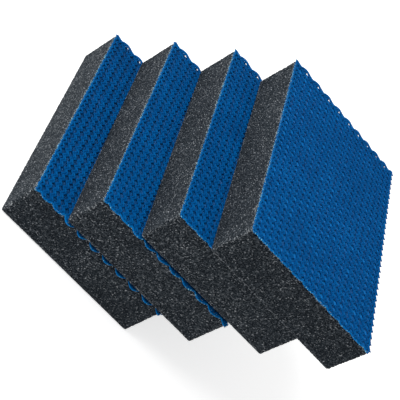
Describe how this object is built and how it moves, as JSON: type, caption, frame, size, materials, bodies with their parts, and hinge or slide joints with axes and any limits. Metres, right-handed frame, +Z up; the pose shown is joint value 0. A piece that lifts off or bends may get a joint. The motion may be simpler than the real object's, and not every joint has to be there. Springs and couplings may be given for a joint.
{
  "type": "sponge filter pads",
  "caption": "Stack of flat rectangular reticulated foam filter pads, each faced with a knitted net on its upper side, staggered like stairs; the pads lie loose and lift off.",
  "frame": {"origin": "middle of the stack's bounding box in plan, on the surface that the bottom pad lies on", "axes": "+X across the pads, the way the stack steps as it rises; +Y along the pads; +Z up through the pads, towards their net faces"},
  "size_m": [0.1924, 0.1788, 0.1265],
  "materials": {
    "foam": "matt open-cell polyurethane foam, charcoal",
    "bond": "dull translucent hot-melt film",
    "net": "satin blue polyester warp knit"
  },
  "bodies": {
    "pad_1": {"pad_1_foam": "foam", "pad_1_bond": "bond", "pad_1_net": "net"},
    "pad_2": {"pad_2_foam": "foam", "pad_2_bond": "bond", "pad_2_net": "net"},
    "pad_3": {"pad_3_foam": "foam", "pad_3_bond": "bond", "pad_3_net": "net"},
    "pad_4": {"pad_4_foam": "foam", "pad_4_bond": "bond", "pad_4_net": "net"}
  },
  "joints": [
    {"name": "pad_2_lift", "type": "slide", "parent": "pad_1", "child": "pad_2", "axis": [0, 0, 1], "range_m": [0, 0.06]},
    {"name": "pad_3_lift", "type": "slide", "parent": "pad_2", "child": "pad_3", "axis": [0, 0, 1], "range_m": [0, 0.06]},
    {"name": "pad_4_lift", "type": "slide", "parent": "pad_3", "child": "pad_4", "axis": [0, 0, 1], "range_m": [0, 0.06]}
  ]
}
